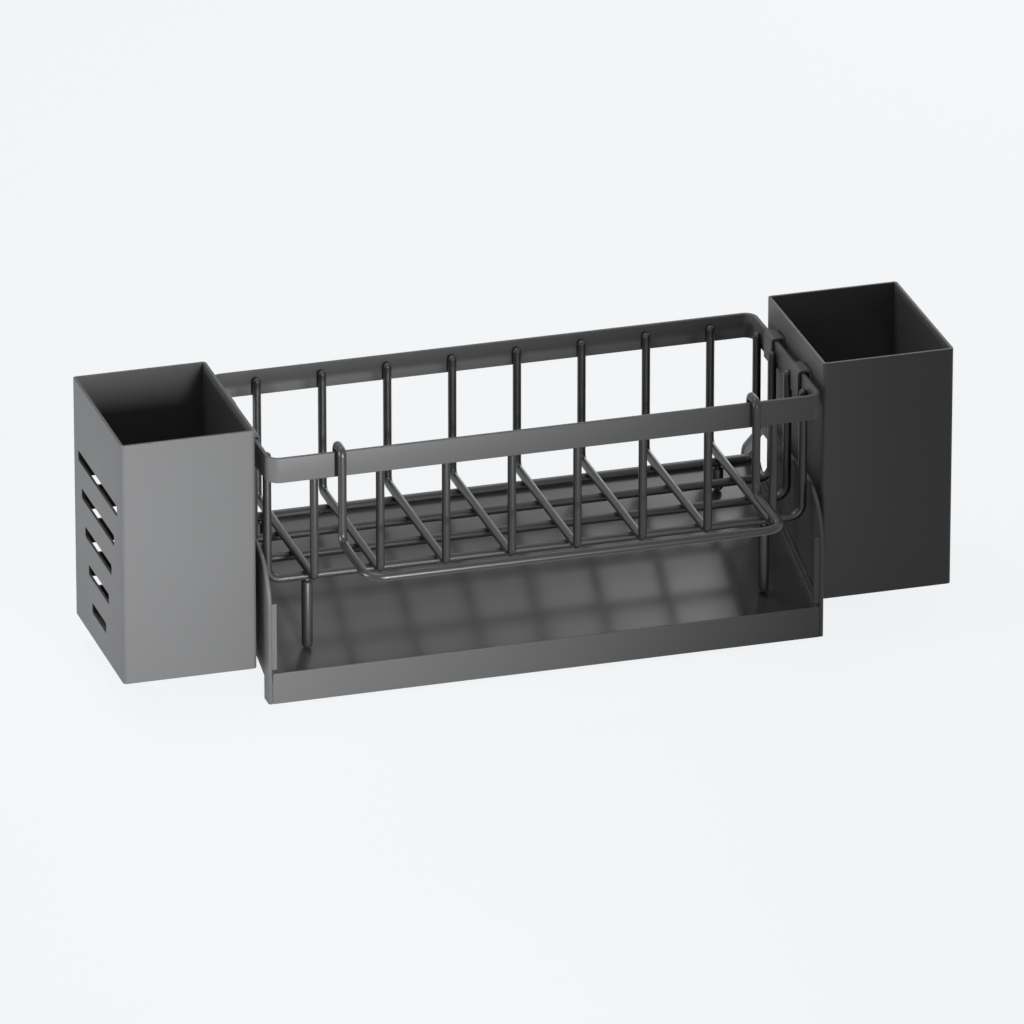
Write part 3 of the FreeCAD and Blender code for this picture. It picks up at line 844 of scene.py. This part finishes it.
@dataclass
class HungBox:
    """An open-topped sheet box with drain slots and the two hooks that hang it on the rim."""

    workshop: Workshop
    side: Side
    box_edge: float = 0.0002
    hook_edge: float = 0.00025

    def build(self, solids: dict[str, bpy.types.Object]) -> None:
        """Makes the box and its hooks.

        Args:
            solids: The solids' objects, by name.
        """
        body = Body.LEFT_BOX if self.side is Side.LEFT else Body.RIGHT_BOX
        coat = self.workshop.coat(SHEET_COAT)
        node = f"{self.side.value}_box"
        shell = softened(f"{node}_shell", solids[node], coat, self.box_edge)
        self.workshop.hand_over(shell, body, SHEET_COAT, [node])
        for row in ("front", "rear"):
            node = f"{self.side.value}_box_hook_{row}"
            strip = softened(f"{node}_strip", solids[node], coat, self.hook_edge)
            self.workshop.hand_over(strip, body, SHEET_COAT, [node])


@dataclass
class DripTray:
    """The folded tray and its two end panels."""

    workshop: Workshop
    sheet_edge: float = 0.0002
    apron_depth: float = 0.0015  # the apron's faces lie within this of the tray's front

    def build(self, solids: dict[str, bpy.types.Object]) -> None:
        """Makes the tray and the end panels.

        Args:
            solids: The solids' objects, by name.
        """
        coat = self.workshop.coat(TRAY_COAT)
        folded = softened("drip_tray_sheet", solids["drip_tray"], coat, self.sheet_edge)
        self.paint_apron_highlight(folded)
        self.workshop.hand_over(folded, Body.TRAY, TRAY_COAT, ["drip_tray"])
        for side in Side:
            node = f"{side.value}_end_panel"
            panel = softened(f"{node}_sheet", solids[node], self.workshop.coat(SHEET_COAT), self.sheet_edge)
            self.workshop.hand_over(panel, Body.TRAY, SHEET_COAT, [node])

    def paint_apron_highlight(self, folded: bpy.types.Object) -> None:
        """Gives the apron the lighter sheet coat, which paints a highlight along its top edge; the floor is
        smoother from wiping.

        Args:
            folded: The tray's piece.
        """
        # the apron's lighter colour is a painted highlight line along its top edge
        folded.data.materials.append(self.workshop.coat(SHEET_COAT))
        front = min(vertex.co.y for vertex in folded.data.vertices)
        for polygon in folded.data.polygons:
            if polygon.center.y < front + self.apron_depth:
                polygon.material_index = 1


@dataclass(frozen=True)
class Lamp:
    """A soft box, with or without a grid that narrows its beam."""

    name: str
    place: Place
    aim: Place
    width: float
    height: float
    power: float                 # watts
    beam: float = 180.0          # degrees

    def build(self) -> None:
        """Hangs the lamp, out of the camera's sight."""
        data = bpy.data.lights.new(self.name, "AREA")
        data.energy = self.power
        data.shape = "RECTANGLE"
        data.size = self.width
        data.size_y = self.height
        data.spread = math.radians(self.beam)
        lamp = bpy.data.objects.new(self.name, data)
        bpy.context.scene.collection.objects.link(lamp)
        lamp.location = self.place
        lamp.rotation_euler = (Vector(self.aim) - Vector(self.place)).to_track_quat("-Z", "Y").to_euler()
        lamp.visible_camera = False


@dataclass
class Studio:
    """Pale floor, soft lamps and the camera."""

    backdrop: Colour = (0.945, 0.962, 0.982)
    floor_seen: float = 0.85     # grey of the floor in the picture
    floor_bounce: float = 0.35   # grey of the floor for the light that it throws back
    floor_veil: float = 0.9      # share of the plain backdrop over the floor's own shading
    floor_radius: float = 6.0
    floor_sides: int = 64
    ambient: float = 0.14
    azimuth: float = -16.70      # degrees
    elevation: float = 23.58
    distance: float = 6.0607
    target: Place = (-0.00148, 0.01552, 0.05826)
    focal_pixels: float = 13024.0
    picture_pixels: float = 1024.0
    sensor: float = 36.0         # millimetres, as the lens is
    view_end: float = 100.0
    lamps: tuple[Lamp, ...] = (
        Lamp("Front strip", place=(0.0, -1.2, 0.27), aim=(-0.26, -0.03, 0.085),
             width=0.1, height=0.3, power=0.68, beam=39.0),
        Lamp("Front low strip", place=(0.0, -1.7, 0.028), aim=(-0.26, -0.03, 0.085),
             width=0.14, height=0.04, power=0.68, beam=27.4),
        Lamp("Left strip", place=(-1.2, 0.06, 0.14), aim=(-0.2, 0.02, 0.08),
             width=0.1, height=0.16, power=0.21, beam=24.0),
        Lamp("Overhead", place=(-0.25, 0.2, 1.2), aim=(0.0, 0.02, 0.05),
             width=0.4, height=0.4, power=4.0),
        Lamp("Tray glow", place=(0.53, 0.6, 1.02), aim=(0.12, 0.0, 0.03),
             width=0.24, height=0.3, power=0.5),
        Lamp("Behind", place=(0.9, 0.9, 0.5), aim=(0.0, 0.0, 0.06),
             width=0.8, height=0.8, power=4.5),
    )

    def build(self) -> None:
        """Sets up the whole studio."""
        bpy.context.scene.view_settings.view_transform = "Standard"
        self.build_world()
        self.build_floor()
        for lamp in self.lamps:
            lamp.build()
        self.build_camera()

    @staticmethod
    def seen(graph: Graph) -> bpy.types.NodeSocket:
        """Adds a mask of the rays that show the backdrop: camera, glossy and transmission."""
        path = graph.add("ShaderNodeLightPath")
        seen = graph.math("MAXIMUM", path.outputs["Is Camera Ray"], path.outputs["Is Glossy Ray"])
        return graph.math("MAXIMUM", seen, path.outputs["Is Transmission Ray"])

    def build_world(self) -> None:
        """Gives the world its backdrop colour and its soft light."""
        world = bpy.data.worlds.new("Studio")
        bpy.context.scene.world = world
        world.use_nodes = True
        world.cycles.sampling_method = "NONE"
        graph = Graph(world.node_tree)
        graph.tree.nodes.clear()
        light = graph.add("ShaderNodeBackground", {"Color": (1.0, 1.0, 1.0, 1.0), "Strength": self.ambient})
        plain = graph.add("ShaderNodeBackground", {"Color": (*self.backdrop, 1.0), "Strength": 1.0})
        mixed = graph.add("ShaderNodeMixShader", {
            0: self.seen(graph), 1: light.outputs[0], 2: plain.outputs[0]})
        graph.add("ShaderNodeOutputWorld", {"Surface": mixed.outputs[0]})

    def build_floor(self) -> None:
        """Lays the pale floor, which keeps a faint shadow."""
        mesh = bpy.data.meshes.new("Floor")
        build = bmesh.new()
        bmesh.ops.create_circle(build, cap_ends=True, segments=self.floor_sides, radius=self.floor_radius)
        build.to_mesh(mesh)
        build.free()
        material = bpy.data.materials.new("Pale floor")
        material.use_nodes = True
        material.cycles.emission_sampling = "NONE"
        graph = Graph(material.node_tree)
        graph.tree.nodes.clear()
        seen = self.seen(graph)
        grey = graph.mix(seen, self.floor_bounce, self.floor_seen)
        lit = graph.add("ShaderNodeBsdfDiffuse", {"Color": grey})
        plain = graph.add("ShaderNodeEmission", {"Color": (*self.backdrop, 1.0), "Strength": 1.0})
        veil = graph.math("MULTIPLY", seen, self.floor_veil)
        mixed = graph.add("ShaderNodeMixShader", {0: veil, 1: lit.outputs[0], 2: plain.outputs[0]})
        graph.add("ShaderNodeOutputMaterial", {"Surface": mixed.outputs[0]})
        mesh.materials.append(material)
        new_object("Floor", mesh)

    def build_camera(self) -> None:
        """Stands the camera at the picture's viewing angle."""
        data = bpy.data.cameras.new("Camera")
        data.sensor_width = self.sensor
        data.lens = self.focal_pixels * self.sensor / self.picture_pixels
        data.clip_end = self.view_end
        camera = bpy.data.objects.new("Camera", data)
        bpy.context.scene.collection.objects.link(camera)
        turn = math.radians(self.azimuth)
        rise = math.radians(self.elevation)
        back = Vector((
            math.sin(turn) * math.cos(rise), -math.cos(turn) * math.cos(rise), math.sin(rise)))
        camera.location = Vector(self.target) + back * self.distance
        camera.rotation_euler = (-back).to_track_quat("-Z", "Y").to_euler()
        bpy.context.scene.camera = camera


def main() -> None:
    """Loads the frame, builds every sub-assembly and lights it."""
    logging.basicConfig(level=logging.INFO, format="%(name)s: %(message)s")
    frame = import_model()
    workshop = Workshop()
    DripTray(workshop).build(frame["nodes"])
    Basket(workshop).build()
    for side in Side:
        HungBox(workshop, side).build(frame["nodes"])
    ClothRail(workshop).build()
    Studio().build()


if __name__ == "__main__":
    main()
